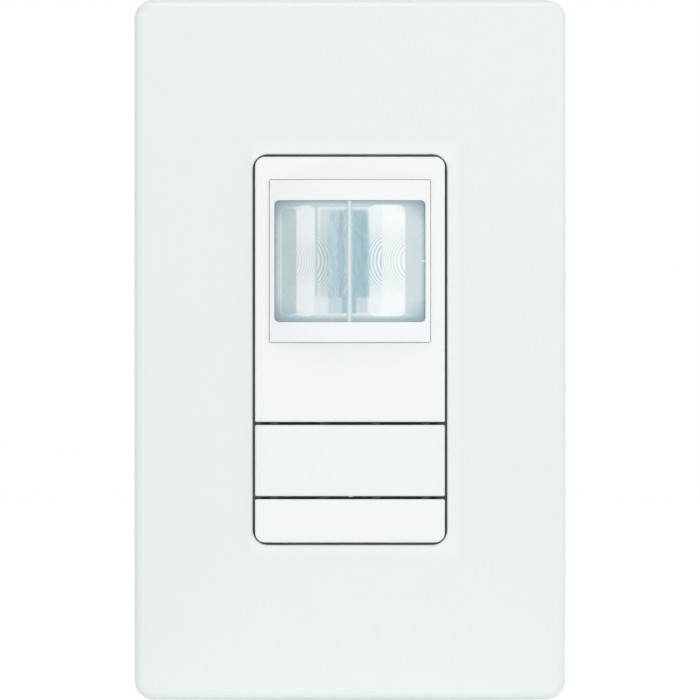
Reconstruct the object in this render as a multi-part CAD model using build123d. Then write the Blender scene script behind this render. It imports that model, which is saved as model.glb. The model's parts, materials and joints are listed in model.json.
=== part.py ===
from build123d import *
import math
import os

# A wall switch with a motion sensor: two push buttons and a lens in a screwless plate.
# X is to the viewer's right, Z is up and Y goes into the wall.
# The origin is the middle of the two box-screw holes, in the plane of the wall.
# Heights off the wall are called out, so a point at height out lies at Y = -out.

# General
tiny = 0.001
overrun = 1.0
fit = 0.1
seat_air = 0.2

# Screw spacings along the strap
box_screw_spacing = 83.34
box_hole_r = 2.0
adapter_screw_step = 6.74
strap_end_margin = 4.1

# Wall plate
plate_side_margin = 15.0
plate_end_margin = 11.59
plate_depth = 6.5
plate_wall = 1.8
plate_corner_r = 3.2
plate_edge_r = 1.35
plate_draft_deg = 2.2
opening_w = 33.27
opening_end_step = 8.27
opening_r = 2.57
opening_edge_r = 0.3
collar_t = 1.2
collar_air = 0.5
brace_t = 1.0
brace_drop = 1.2
brace_shares = (0.36, 0.2)

# Snap arms of the wall plate and beads of the adapter
arm_t = 1.2
arm_l = 8.0
arm_air = 0.5
catch_r = 0.4
side_arm_shares = (-0.36, 0.0, 0.36)
end_arm_shares = (-0.26, 0.26)

# Adapter behind the wall plate
adapter_t = 1.5
adapter_lip_t = 1.2
adapter_lip_h = 1.1
adapter_corner_r = 2.6
adapter_rib_t = 0.8
adapter_rib_air = 0.3
strap_rib_air = 0.6
adapter_rib_shares = (-0.44, -0.3, -0.15, 0, 0.15, 0.3, 0.44)
adapter_opening_air = 0.6
driver_hole_r = 4.4
adapter_screw_r = 1.7
adapter_screw_head_r = 3.1
adapter_screw_head_h = 1.2
adapter_screw_l = 7.0
slot_w = 0.8
slot_depth = 0.5

# Mounting strap
strap_t = 1.2
strap_side_step = 5.365
strap_end_r = 2.5
strap_neck_w = 27.0
strap_window_air = 1.8
strap_window_r = 1.0
ear_r = 5.0
ear_link_w = 1.6
ear_slit_w = 0.8
ear_reach = 16.6
ground_tab_w = 9.0
ground_tab_depth = 8.6
ground_tab_share = -0.27
ground_screw_r = 1.9
ground_head_r = 3.6
ground_head_h = 2.2

# Device face
face_air = 0.42
face_r = 1.65
face_proud = 0.7
face_t = 1.6
face_edge_r = 0.42
nib_r = 0.3
upper_button_h = 12.18
lower_button_h = 7.4
button_gap = 0.52
skirt_t = 1.0

# Bowed frame of the lens
frame_side = 2.46
frame_drop = 3.95
frame_h = 27.8
frame_edge_proud = 0.3
frame_bulge = 1.6
frame_skin = 1.1
frame_flange_t = 0.8
frame_edge_r = 0.25
frame_air = 0.08

# Lens
lens_side = 0.85
lens_drop = 3.5
lens_corner_r = 0.8
lens_recess = 0.5
lens_t = 0.9
lens_flange_h = 0.8
lens_air = 0.05
lens_ridge_w = 0.7
lens_ridge_h = 0.12
lens_lip = 0.85
ring_r = 2.3
ring_r_shares = (1, 0.95, 1.45)
groove_fill_share = 0.6
groove_depth_share = 0.45
groove_reach = 7.7
groove_land = 0.06
facet_shares = (0.26, 0.42, 0.75, 1.0)
ring_centre_shares = (0.68, 0.93, 1.63)

# Tray behind the lens
tray_t = 0.9
tray_back_share = 0.73
tray_flange = 1.0
tray_flange_t = 0.8
eye_w = 7.3
eye_top_drop = 1.1
eye_r = 0.6
eye_foot_rise = 4.1
foot_slot_w = 0.9
foot_slot_h = 2.5
foot_slot_pitch = 1.8
peephole_r = 1.75
peephole_rise = 2.6
peephole_step = 1.06

# Front housing
deck_t = 1.2
deck_inset = 0.1
cheek_t = 1.1
button_air = 0.8
rib_w = 1.4
rib_t = 0.5
rib_shares = (-0.4, -0.137, 0.137, 0.4)
stop_air = 0.5
boss_r = 1.8
boss_inset = 2.98
boss_share = 0.28
boss_drop = 0.2
leg_w = 3.0
leg_side = 2.0
upper_leg_rise = 0.0
lower_leg_drop = 18.0
stake_r = 0.8
stake_head_r = 1.3
stake_head_h = 0.5
crossbar_h = 1.1
deck_border = 2.2

# Button hinges and push posts
pin_r = 0.8
pin_air = 0.06
lug_r = 1.4
lug_t = 1.2
lug_air = 0.35
hinge_inset = 1.9
button_rim = 1.5
button_hollow = 0.5
post_r = 1.0
post_round = 0.5
post_gap = 0.08
upper_post_rise = 3.4
lower_post_drop = 1.5
button_rib_t = 0.8
button_rib_h = 0.9
hook_t = 0.8
hook_w = 1.6
hook_lip = 0.5
hook_lip_h = 0.7
hook_air = 0.1
hook_share = 0.376
nub_r = 1.0
nub_proud = 0.12
nub_x = 0.15
gusset_w = 5.0

# Tact switches
plunger_out = -0.2
plunger_r = 1.0
plunger_flange_r = 1.5
plunger_flange_h = 0.3
plunger_travel = 0.25
switch_w = 4.5
switch_base_h = 2.2
switch_shell_t = 0.3
switch_well_r = 1.75
switch_leg_w = 0.7

# Boards
board_t = 1.2
board_drop = 5.0
board_air = 0.55
tower_air = 0.4
power_board_drop = 22.0
power_board_t = 1.6

# Motion sensor can and its neighbours
can_r = 4.1
can_h = 4.0
can_flange_r = 4.6
can_flange_h = 0.6
can_edge_r = 0.5
can_t = 0.35
filter_w = 4.4
filter_h = 3.4
filter_t = 0.5
can_pin_r = 0.23
can_pin_circle_r = 2.54
can_pin_l = 2.4
lamp_r = 1.5
lamp_h = 5.0
lamp_rim_r = 1.7
lamp_rim_h = 0.8
chip_w = 7.0
chip_t = 1.1
chip_lead_w = 0.45
chip_lead_count = 6
chip_share = 0.0
chip_drop = 9.5

# Rear housing
rear_side_step = 0.65
rear_end_step = 6.87
rear_depth = 33.0
rear_wall = 1.8
rear_corner_r = 2.0
rear_edge_r = 1.0
tower_r = 2.9
ledge_w = 2.0
ledge_t = 1.2
ledge_h = 12.0
ledge_share = 0.73
standoff_r = 2.0
standoff_x_share = 0.79
standoff_z_share = 0.66
sheet_t = 0.4
gauge_l = 11.0
gauge_w = 2.2
gauge_depth = 0.6
gauge_share = -0.3
eject_mark_r = 2.0
eject_mark_depth = 0.15
eject_mark_shares = (0.26, 0.17)
housing_screw_r = 1.25
housing_screw_head_r = 2.2
housing_screw_head_h = 1.6
housing_screw_l = 7.8
counterbore_air = 0.2
housing_screw_seat = 4.2

# Wire terminals in the side walls
terminal_shares = ((-1, 0.345), (-1, -0.29), (1, 0.345))
pocket_half = 5.0
pocket_depth = 3.95
pocket_wall = 1.2
pocket_drop = 8.5
pocket_run = 10.0
brass_t = 1.0
brass_half = 4.0
tail_half = 1.5
terminal_screw_r = 1.75
terminal_head_r = 3.2
terminal_head_h = 2.0
head_round_share = 0.33
terminal_grip_air = 0.5
terminal_screw_l = 4.2

# Parts on the power board
relay_size = (15.4, 20.0, 10.6)
relay_z_share = 0.46
relay_gap = 0.8
bulk_r = 5.0
bulk_h = 12.5
bulk_neck_share = 0.12
bulk_z_share = 0.41
film_size = (7.0, 13.0, 10.5)
film_place_share = (0.47, -0.06)
choke_r = 4.4
choke_h = 9.0
choke_flange_h = 1.2
choke_core_r = 3.3
choke_place_share = (-0.42, -0.13)
varistor_r = 4.0
varistor_t = 3.0
varistor_round_share = 0.25
varistor_place_share = (0.02, -0.13)
fuse_r = 1.5
fuse_l = 8.0
fuse_cap_l = 1.2
fuse_neck_share = 0.8
fuse_place_share = (-0.36, -0.44)
lead_r = 0.35
case_r = 0.6
header_pitch = 2.54
header_count = 5
header_pin_w = 0.64
header_body_h = 2.5
header_place_share = (0.4, -0.54)

# Sizes that follow
adapter_screw_spacing = box_screw_spacing + 2 * adapter_screw_step
strap_w = opening_w + 2 * strap_side_step
strap_l = adapter_screw_spacing + 2 * strap_end_margin
plate_w = strap_w + 2 * plate_side_margin
plate_h = adapter_screw_spacing + 2 * plate_end_margin
opening_h = box_screw_spacing - 2 * opening_end_step
rear_w = strap_w - 2 * rear_side_step
rear_h = box_screw_spacing - 2 * rear_end_step

# Heights off the wall
strap_front = strap_t
adapter_front = strap_front + adapter_t
deck_front = strap_front + deck_t
face_front = plate_depth + face_proud
face_back = face_front - face_t
frame_back = face_back - frame_flange_t
cheek_front = face_back - button_air
hinge_out = (strap_front + cheek_front) / 2
rib_front = face_back - stop_air
tray_front = frame_back - seat_air
board_front = -board_drop
board_back = board_front - board_t
can_front = board_front + can_h
tray_floor_back = can_front + seat_air
tray_floor_front = tray_floor_back + tray_t
power_front = -power_board_drop
power_back = power_front - power_board_t
rear_floor = rear_wall - rear_depth

# Outline of the device face and its three pieces
face_w = opening_w - 2 * face_air
face_h = opening_h - 2 * face_air
face_top = face_h / 2
lower_bottom = -face_top
lower_top = lower_bottom + lower_button_h
upper_bottom = lower_top + button_gap
upper_top = upper_bottom + upper_button_h
cover_bottom = upper_top + button_gap
deck_w = face_w - 2 * deck_inset
deck_h = face_h - 2 * deck_inset
cheek_in = deck_w / 2 - cheek_t
wall_out = face_w / 2 - skirt_t - fit
wall_in = wall_out - skirt_t

# Lens frame, lens and tray
frame_w = face_w - 2 * frame_side
frame_top = face_top - frame_drop
frame_bottom = frame_top - frame_h
frame_half = frame_w / 2
frame_crown = face_front + frame_edge_proud + frame_bulge
frame_r = (frame_half**2 + frame_bulge**2) / (2 * frame_bulge)
frame_axis_y = frame_r - frame_crown
lens_w = frame_w - 2 * lens_side
lens_h = frame_h - 2 * lens_drop
lens_z = frame_top - lens_drop - lens_h / 2
lens_half = lens_w / 2 - lens_air
tray_half = lens_w / 2
tray_back_half = tray_half * tray_back_share
tray_half_h = lens_h / 2
peephole_x = eye_w / 2 + peephole_step
peephole_z = lens_z - tray_half_h + peephole_rise

# Hinges, posts and hooks
upper_hinge_z = upper_top - hinge_inset
lower_hinge_z = lower_bottom + hinge_inset
upper_post_z = upper_bottom + upper_post_rise
lower_post_z = lower_top - lower_post_drop
gap_mid = upper_bottom - button_gap / 2
crossbar_top = gap_mid + crossbar_h / 2
crossbar_bottom = gap_mid - crossbar_h / 2
hook_x = face_w * hook_share
lug_out = cheek_in - lug_air
post_tip = plunger_out + post_gap
window_half = face_w / 2 - strap_window_air
window_bottom = crossbar_bottom - hook_air - hook_t - 2 * hook_lip
window_top = -window_bottom
boss_x = face_w * boss_share
boss_z = face_top - boss_inset
upper_leg_z = upper_leg_rise
lower_leg_z = -lower_leg_drop
leg_x = window_half - leg_side

# Insides of the rear housing
cavity_w = rear_w - 2 * rear_wall
cavity_h = rear_h - 2 * rear_wall
board_w = cavity_w - 2 * board_air
board_h = cavity_h - 2 * board_air
ledge_z = cavity_h / 2 * ledge_share
standoff_x = board_w / 2 * standoff_x_share
standoff_z = board_h / 2 * standoff_z_share
pocket_floor_x = rear_w / 2 - pocket_depth
relay_row_w = relay_size[0] + relay_gap + 2 * bulk_r
relay_x = (relay_size[0] - relay_row_w) / 2
bulk_x = relay_row_w / 2 - bulk_r
brass_mid_out = -(pocket_drop + pocket_run / 2)


# Basic shapes
def slab(outline, low, high):
    """An outline seen from the front, thickened between two heights off the wall."""
    return extrude(Plane.XZ.offset(low) * outline, amount=high - low)


def bar(x_low, x_high, z_low, z_high, low, high):
    place = Pos((x_low + x_high) / 2, (z_low + z_high) / 2)
    return slab(place * Rectangle(x_high - x_low, z_high - z_low), low, high)


def block(x, z, width, height, low, high):
    """A plain block centred on a place on the wall."""
    return slab(Pos(x, z) * Rectangle(width, height), low, high)


def disc(x, z, radius, low, high):
    return slab(Pos(x, z) * Circle(radius), low, high)


def rod(x_low, x_high, z, out, radius):
    """A round bar along X."""
    return extrude(Plane.YZ.offset(x_low) * Pos(-out, z) * Circle(radius), amount=x_high - x_low)


def turned(profile):
    """A turned part about the Y axis, from (radius, out) points."""
    outline = Polygon(*[(radius, -out) for radius, out in profile], align=None)
    return revolve(outline, Axis.Y)


def front_edges(shape):
    return shape.faces().sort_by(Axis.Y)[0].outer_wire().edges()


def both_sides(shape):
    return shape + mirror(shape, about=Plane.YZ)


# Wall plate and adapter
adapter_edge_gap = plate_wall + arm_air + arm_t + catch_r + fit + catch_r
adapter_w = plate_w - 2 * adapter_edge_gap
adapter_h = plate_h - 2 * adapter_edge_gap
arm_in = adapter_w / 2 + catch_r + fit + catch_r
arm_in_z = adapter_h / 2 + catch_r + fit + catch_r
catch_out = strap_front - catch_r
bead_out = strap_front + adapter_t / 2


def snap_arm(distance):
    """One arm that reaches back past the adapter's edge, with a rounded tooth inside."""
    arm = bar(distance, distance + arm_t, -arm_l / 2, arm_l / 2, 0, plate_depth - plate_wall / 2)
    tooth_place = Plane.XY.offset(-arm_l / 2) * Pos(distance, -catch_out)
    tooth = extrude(tooth_place * Circle(catch_r), amount=arm_l)
    return arm + tooth


def around_edges(shape_for_distance, side_distance, end_distance):
    """The same small shape on the long sides and the ends of the plate."""
    spots = []
    for side in (0, 180):
        for share in side_arm_shares:
            spots.append(Rot(0, side, 0) * Pos(0, 0, plate_h * share) * shape_for_distance(side_distance))
        for share in end_arm_shares:
            place = Rot(0, side + 90, 0) * Pos(0, 0, plate_w * share)
            spots.append(place * shape_for_distance(end_distance))
    return spots


def make_wall_plate_cover():
    rim = RectangleRounded(plate_w, plate_h, plate_corner_r)
    shell = extrude(Plane.XZ * rim, amount=plate_depth, taper=plate_draft_deg)
    shell = fillet(front_edges(shell), plate_edge_r)
    inner_r = plate_corner_r - plate_wall
    hollow = RectangleRounded(plate_w - 2 * plate_wall, plate_h - 2 * plate_wall, inner_r)
    shell -= extrude(Plane.XZ * hollow, amount=plate_depth - plate_wall, taper=plate_draft_deg)
    collar = RectangleRounded(opening_w + 2 * collar_t, opening_h + 2 * collar_t, opening_r + collar_t)
    shell += slab(collar, adapter_front + collar_air, plate_depth - plate_wall / 2)
    for share in brace_shares:
        for side in (-1, 1):
            z = side * plate_h * share
            roof = plate_depth - plate_wall
            brace = bar(-plate_w * share, plate_w * share, z, z + brace_t, roof - brace_drop, roof + tiny)
            shell += brace - slab(collar, 0, plate_depth)
    for arm in around_edges(snap_arm, arm_in, arm_in_z):
        shell += arm
    opening = RectangleRounded(opening_w, opening_h, opening_r)
    shell -= slab(opening, 0, plate_depth + overrun)
    front = shell.faces().sort_by(Axis.Y)[0]
    return fillet(front.inner_wires()[0].edges(), opening_edge_r)


def edge_bead(distance):
    place = Plane.XY.offset(-arm_l / 2) * Pos(distance, -bead_out)
    return extrude(place * Circle(catch_r), amount=arm_l)


def make_plate_adapter():
    outline = RectangleRounded(adapter_w, adapter_h, adapter_corner_r)
    plate = slab(outline, strap_front, adapter_front)
    lip = outline - offset(outline, amount=-adapter_lip_t)
    plate += slab(lip, adapter_front - tiny, adapter_front + adapter_lip_h)
    back_rim = outline - offset(outline, amount=-adapter_rib_t)
    plate += slab(back_rim, adapter_rib_air, strap_front + tiny)
    for share in adapter_rib_shares:
        z = adapter_h * share
        rib_start = strap_w / 2 + strap_rib_air
        rib = bar(rib_start, adapter_w / 2 - adapter_rib_t / 2, z - adapter_rib_t / 2, z + adapter_rib_t / 2,
                  adapter_rib_air, strap_front + tiny)
        plate += both_sides(rib)
    for bead in around_edges(edge_bead, adapter_w / 2, adapter_h / 2):
        plate += bead
    hole_w = face_w + 2 * adapter_opening_air
    hole_h = face_h + 2 * adapter_opening_air
    plate -= slab(RectangleRounded(hole_w, hole_h, face_r + adapter_opening_air), 0, plate_depth)
    for side in (-1, 1):
        plate -= disc(0, side * box_screw_spacing / 2, driver_hole_r, 0, plate_depth)
        sink = turned(countersink(fit / 2))
        plate -= Pos(0, 0, side * adapter_screw_spacing / 2) * sink
    return plate


def countersink(air):
    """The screw's profile, widened by air, as (radius, out) points."""
    shank_end = adapter_front - adapter_screw_head_h
    return (
        (0, adapter_front + air),
        (adapter_screw_head_r + air, adapter_front + air),
        (adapter_screw_head_r + air, adapter_front),
        (adapter_screw_r + air, shank_end),
        (adapter_screw_r + air, -adapter_screw_l),
        (0, -adapter_screw_l),
    )


def make_adapter_screws():
    screw = turned(countersink(0))
    screw = chamfer(screw.edges().sort_by(Axis.Y)[-1], adapter_screw_r / 2)
    slot_floor = adapter_front - slot_depth
    slot = block(0, 0, plate_w, slot_w, slot_floor, adapter_front + overrun)
    screw -= slot
    spots = [Pos(0, 0, side * adapter_screw_spacing / 2) * screw for side in (-1, 1)]
    return Compound(children=spots)


# Strap
def strap_window():
    window = Pos(0, (window_top + window_bottom) / 2) * Rectangle(2 * window_half, window_top - window_bottom)
    window = fillet(window.vertices(), strap_window_r)
    notch_half = post_r + fit + seat_air
    notch_low = lower_post_z - notch_half
    notch = Pos(0, (notch_low + window_bottom) / 2 + overrun / 2)
    return window + notch * Rectangle(2 * notch_half, window_bottom - notch_low + overrun)


def strap_outline():
    body = RectangleRounded(strap_w, rear_h + 2 * strap_t, strap_end_r)
    neck = RectangleRounded(strap_neck_w, strap_l, strap_end_r)
    outline = body + neck
    ear_z = strap_l / 2 - ear_r
    for side_x in (-1, 1):
        for side_z in (-1, 1):
            ear = Pos(side_x * ear_reach, side_z * ear_z) * Circle(ear_r)
            slit_x = side_x * (strap_neck_w / 2 + ear_slit_w / 2)
            slit = Pos(slit_x, side_z * ear_z) * Rectangle(ear_slit_w, 2 * ear_r)
            link = Pos(slit_x, side_z * ear_z) * Rectangle(2 * ear_slit_w, ear_link_w)
            outline += (ear - slit - Rectangle(strap_neck_w, strap_l)) + link
    return outline


def ground_tab():
    """The tongue bent back beside the housing, and the tapped hole in it."""
    x = strap_w * ground_tab_share
    z_high = -(rear_h / 2 + seat_air)
    tongue = block(x, z_high - strap_t / 2, ground_tab_w, strap_t, -ground_tab_depth, strap_t)
    free_corners = tongue.edges().filter_by(Axis.Z).group_by(Axis.Y)[-1]
    tongue = fillet(free_corners, strap_end_r)
    hole = Pos(x, ground_tab_depth / 2) * Circle(ground_screw_r + fit / 2)
    return tongue, extrude(Plane.XY.offset(-strap_l / 2) * hole, amount=strap_l / 2)


def make_mounting_strap():
    tongue, ground_hole = ground_tab()
    strap = slab(strap_outline() - strap_window(), 0, strap_front)
    for side in (-1, 1):
        strap -= disc(0, side * box_screw_spacing / 2, box_hole_r, -overrun, strap_front + overrun)
        screw_z = side * adapter_screw_spacing / 2
        strap -= disc(0, screw_z, adapter_screw_r + fit / 2, -overrun, strap_front + overrun)
        for side_x in (-1, 1):
            hole_r = housing_screw_r + fit
            strap -= disc(side_x * boss_x, side * boss_z, hole_r, -overrun, strap_front + overrun)
    return strap + tongue - ground_hole


def make_ground_screw():
    x = strap_w * ground_tab_share
    face_z = -(rear_h / 2 + seat_air + strap_t)
    head = RegularPolygon(ground_head_r, 6)
    head = extrude(Plane.XY * head, amount=-ground_head_h)
    slot = Rectangle(2 * ground_head_r, slot_w)
    head -= extrude(Plane.XY.offset(-ground_head_h) * slot, amount=slot_depth)
    shank_l = strap_t + seat_air / 2
    shank = extrude(Plane.XY * Circle(ground_screw_r), amount=shank_l)
    return Pos(x, ground_tab_depth / 2, face_z) * (head + shank)


# Device face
def face_outline(z_low, z_high):
    """The part of the rounded face between two heights, its cut corners eased."""
    band = Pos(0, (z_low + z_high) / 2) * Rectangle(face_w, z_high - z_low)
    piece = RectangleRounded(face_w, face_h, face_r) & band
    sharp = []
    for corner in piece.vertices():
        on_side = abs(abs(corner.X) - face_w / 2) < tiny
        on_cut = min(abs(corner.Y - z_low), abs(corner.Y - z_high)) < tiny
        if on_side and on_cut:
            sharp.append(corner)
    return fillet(sharp, nib_r)


def make_front_cover():
    outline = face_outline(cover_bottom, face_top)
    cover = slab(outline, face_back, face_front)
    cover = fillet(front_edges(cover), face_edge_r)
    skirt = outline - offset(outline, amount=-skirt_t)
    cover += slab(skirt, deck_front, face_back + tiny)
    window = RectangleRounded(frame_w + 2 * frame_air, frame_h + 2 * frame_air, nib_r)
    middle = Pos(0, (frame_top + frame_bottom) / 2)
    return cover - slab(middle * window, 0, face_front + overrun)


def bow(half_width, depth_in, back_out):
    """A plan section: a bowed front, depth_in inside the frame's surface, and a flat back."""
    radius = frame_r - depth_in
    edge_y = frame_axis_y - math.sqrt(radius**2 - half_width**2)
    crown_y = frame_axis_y - radius
    front = ThreePointArc((-half_width, edge_y), (0, crown_y), (half_width, edge_y))
    corners = [(half_width, edge_y), (half_width, -back_out), (-half_width, -back_out), (-half_width, edge_y)]
    back = Polyline(*corners)
    return make_face(front.edges() + back.edges())


def upright(section, z_low, z_high):
    return extrude(Plane.XY.offset(z_low) * section, amount=z_high - z_low)


def make_window_frame():
    frame = upright(bow(frame_half, 0, frame_back), frame_bottom, frame_top)
    crown = frame.faces().sort_by(Axis.Y)[0]
    frame = fillet(crown.edges(), frame_edge_r)
    pocket = bow(lens_w / 2, frame_skin, frame_back - overrun)
    frame -= upright(pocket, frame_bottom + frame_skin, frame_top - frame_skin)
    aperture = Pos(0, lens_z) * RectangleRounded(lens_w, lens_h, lens_corner_r)
    frame -= slab(aperture, 0, frame_crown + overrun)
    flange_top = face_top - skirt_t - seat_air
    flange_reach = flange_top - frame_top
    upper_flange = (frame_top - frame_skin, flange_top)
    lower_flange = (frame_bottom - flange_reach, frame_bottom + frame_skin)
    for low, high in (upper_flange, lower_flange):
        frame += bar(-frame_half, frame_half, low, high, frame_back, face_back)
    return frame


# Lens
def lens_section():
    """A bowed front and a back of flat facets that fold at the groove groups' borders."""
    radius = frame_r - lens_recess

    def surface_y(x, depth):
        return frame_axis_y - math.sqrt((radius - depth) ** 2 - x**2)

    front_edge_y = surface_y(lens_half, 0)
    front = ThreePointArc((-lens_half, front_edge_y), (0, surface_y(0, 0)), (lens_half, front_edge_y))
    right_x = [lens_half * share for share in facet_shares]
    folds = [(x, surface_y(x, lens_t)) for x in right_x]
    left_folds = [(-x, y) for x, y in folds]
    rim = Polyline((lens_half, front_edge_y), *reversed(folds), *left_folds, (-lens_half, front_edge_y))
    return make_face(front.edges() + rim.edges()), folds


def ring_tools(start, end, centre_x, first_r):
    """V grooves round one centre in a facet. Their radii grow with the root of the ring's number."""
    slope = (end[1] - start[1]) / (end[0] - start[0])
    centre_y = start[1] + (centre_x - start[0]) * slope
    facet = Plane((centre_x, centre_y, lens_z), x_dir=(1, slope, 0), z_dir=(slope, -1, 0))
    nearest = centre_x - end[0]
    farthest = math.hypot(centre_x - start[0], groove_reach)
    first = math.ceil((nearest / first_r) ** 2) + 1
    last = math.floor((farthest / first_r) ** 2)
    strip = bar(start[0] + groove_land, end[0] - groove_land, lens_z - groove_reach, lens_z + groove_reach,
                0, frame_crown)
    rings = []
    for index in range(first, last + 1):
        radius = first_r * math.sqrt(index)
        pitch = first_r * (math.sqrt(index + 1) - math.sqrt(index))
        half = pitch * groove_fill_share / 2
        depth = 2 * half * groove_depth_share
        profile = Polygon((radius - half, 0), (radius + half, 0), (radius, depth), align=None)
        rings.append((facet * revolve(Plane.XZ * profile, Axis.Z)) & strip)
    return rings


def make_fresnel_lens():
    section, folds = lens_section()
    lens = upright(section, lens_z - lens_h / 2, lens_z + lens_h / 2)
    window = RectangleRounded(lens_w - 2 * lens_air, lens_h - 2 * lens_air, lens_corner_r)
    lens &= slab(Pos(0, lens_z) * window, 0, frame_crown)
    lip = bow(lens_half, frame_skin + lens_air, 0) - bow(lens_half, frame_skin + lens_t, 0)
    for side in (-1, 1):
        inner = lens_z + side * (lens_h / 2 - lens_lip)
        outer = lens_z + side * (lens_h / 2 + lens_flange_h)
        lens += upright(lip, min(inner, outer), max(inner, outer))
    ridge_back = frame_crown - lens_recess - lens_t / 2
    ridge_front = frame_crown - lens_recess + lens_ridge_h
    ridge_half_h = lens_h / 2 - lens_air
    lens += block(0, lens_z, lens_ridge_w, 2 * ridge_half_h, ridge_back, ridge_front)
    grooves = []
    for fold, end, share, r_share in zip(folds, folds[1:], ring_centre_shares, ring_r_shares):
        grooves += ring_tools(fold, end, lens_half * share, ring_r * r_share)
    return lens - grooves - [mirror(groove, about=Plane.YZ) for groove in grooves]


# Tray behind the lens
def tray_form(grow, back_out):
    """The tapering space of the tray, grown by a wall, from the lens back to back_out."""
    front = Rectangle(2 * (tray_half + grow), 2 * (tray_half_h + grow))
    back = Rectangle(2 * (tray_back_half + grow), 2 * (tray_half_h + grow) - tray_t)
    place = Pos(0, lens_z)
    return loft([Plane.XZ.offset(tray_front) * place * front, Plane.XZ.offset(back_out) * place * back])


def make_sensor_baffle():
    tray = tray_form(tray_t, tray_floor_back)
    hollow = tray_form(0, tray_floor_front)
    flange_w = 2 * (tray_half + tray_flange)
    flange_h = 2 * (tray_half_h + tray_flange + tray_t)
    tray += block(0, lens_z, flange_w, flange_h, deck_front, deck_front + tray_flange_t)
    tray -= hollow
    eye_top = lens_z + tray_half_h - eye_top_drop
    eye_bottom = lens_z - tray_half_h + eye_foot_rise
    eye = Pos(0, (eye_top + eye_bottom) / 2) * RectangleRounded(eye_w, eye_top - eye_bottom, eye_r)
    tray -= slab(eye, tray_floor_back - overrun, tray_floor_front + tiny)
    slot_top = eye_bottom + overrun
    for side in (-1, 1):
        x = side * foot_slot_pitch / 2
        slot_h = foot_slot_h + overrun
        slot_z = slot_top - slot_h / 2
        tray -= block(x, slot_z, foot_slot_w, slot_h, tray_floor_back - overrun, tray_floor_front)
        tray -= disc(side * peephole_x, peephole_z, peephole_r, tray_floor_back - overrun, tray_floor_front)
    return tray


# Front housing
def lower_walls():
    """Cheeks beside the buttons and the end wall under them."""
    outline = RectangleRounded(deck_w, deck_h, face_r)
    inner_low = lower_bottom + deck_inset + skirt_t
    high = cover_bottom - fit
    inside = Pos(0, (inner_low + face_top) / 2) * Rectangle(2 * cheek_in, face_top - inner_low)
    band = Pos(0, (high + lower_bottom) / 2) * Rectangle(face_w, high - lower_bottom)
    return (outline - inside) & band


def upper_walls():
    """The ring that the cover's skirt slips over."""
    outer = offset(face_outline(cover_bottom, face_top), amount=-(skirt_t + fit))
    return outer - offset(outer, amount=-skirt_t)


def gap_ribs(z_low, z_high, front):
    """Four small stops in the gap between two pieces of the face."""
    ribs = []
    for share in rib_shares:
        x = face_w * share
        ribs.append(bar(x - rib_w / 2, x + rib_w / 2, z_low, z_high, strap_front, front))
    return ribs


def deck_windows():
    """Openings for the tray, the switches and the hooks, as outlines."""
    tray_clear = tray_half + tray_flange - tray_t
    tray_window = Pos(0, lens_z) * Rectangle(2 * tray_clear, 2 * (tray_half_h + tray_t))
    half = hook_x + hook_w / 2 + seat_air
    high = upper_top - deck_border
    upper = Pos(0, (high + crossbar_top) / 2) * Rectangle(2 * half, high - crossbar_top)
    lower_h = crossbar_bottom - window_bottom
    lower = Pos(0, window_bottom + lower_h / 2) * Rectangle(2 * half, lower_h)
    notch_half = post_r + fit + seat_air
    notch = Pos(0, lower_post_z) * Rectangle(2 * notch_half, 2 * notch_half)
    low_limit = Pos(0, crossbar_bottom - face_h / 2) * Rectangle(face_w, face_h)
    return [tray_window, upper, lower + (notch & low_limit)]


def board_leg(x, z):
    """A leg down to the board, with a stake through it and a melted head behind it."""
    leg = bar(x - leg_w / 2, x + leg_w / 2, z - leg_w / 2, z + leg_w / 2, board_front, deck_front)
    stake = disc(x, z, stake_r, board_back, board_front + tiny)
    head = disc(x, z, stake_head_r, board_back - stake_head_h, board_back)
    head = fillet(head.faces().sort_by(Axis.Y)[-1].edges(), stake_head_h / 2)
    return leg + stake + head


def make_front_housing():
    housing = slab(RectangleRounded(deck_w, deck_h, face_r), strap_front, deck_front)
    for window in deck_windows():
        housing -= slab(window, 0, face_front)
    housing += slab(upper_walls(), deck_front - tiny, frame_back)
    housing += slab(lower_walls(), deck_front - tiny, cheek_front)
    sill_high = frame_bottom - frame_flange_t
    housing += bar(-wall_in, wall_in, sill_high - skirt_t, sill_high, deck_front - tiny, frame_back)
    for rib in gap_ribs(crossbar_bottom + fit, crossbar_top - fit, rib_front):
        housing += rib
    for rib in gap_ribs(cover_bottom - fit - rib_t, cover_bottom - fit, rib_front):
        housing += rib
    for side in (-1, 1):
        for z in (upper_leg_z, lower_leg_z):
            housing += board_leg(side * leg_x, z)
        for z in (upper_hinge_z, lower_hinge_z):
            clear = lug_r + lug_air
            x_near = lug_out - lug_t - lug_air
            pocket = bar(x_near, cheek_in, z - clear, z + clear, strap_front - tiny, face_front)
            housing -= pocket if side > 0 else mirror(pocket, about=Plane.YZ)
            housing -= rod(-face_w, face_w, z, hinge_out, pin_r + pin_air)
        for end in (-1, 1):
            x, z = side * boss_x, end * boss_z
            housing += disc(x, z, boss_r, strap_front, frame_back - boss_drop)
            housing -= disc(x, z, housing_screw_r + fit / 2, 0, frame_back - boss_drop - deck_t / 2)
    return housing


# Push buttons
def hinge_lug(z):
    """The ear behind a button's side, with its trunnion pin."""
    root = face_back + button_hollow
    ear = Pos(-hinge_out, z) * Circle(lug_r)
    web = Pos(-(hinge_out + root) / 2, z) * Rectangle(root - hinge_out, 2 * lug_r)
    lug = extrude(Plane.YZ.offset(lug_out - lug_t) * (ear + web), amount=lug_t)
    pin_end = deck_w / 2 - fit
    return lug + rod(lug_out - tiny, pin_end, z, hinge_out, pin_r)


def push_post(z):
    """The post that meets the switch, with a cross of two thin gussets at its root."""
    root = face_back + button_hollow
    post = disc(0, z, post_r, post_tip, root)
    post = fillet(post.faces().sort_by(Axis.Y)[-1].edges(), post_round)
    gusset = block(0, z, gusset_w, button_rib_t, deck_front + fit, root)
    return post + gusset


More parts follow.
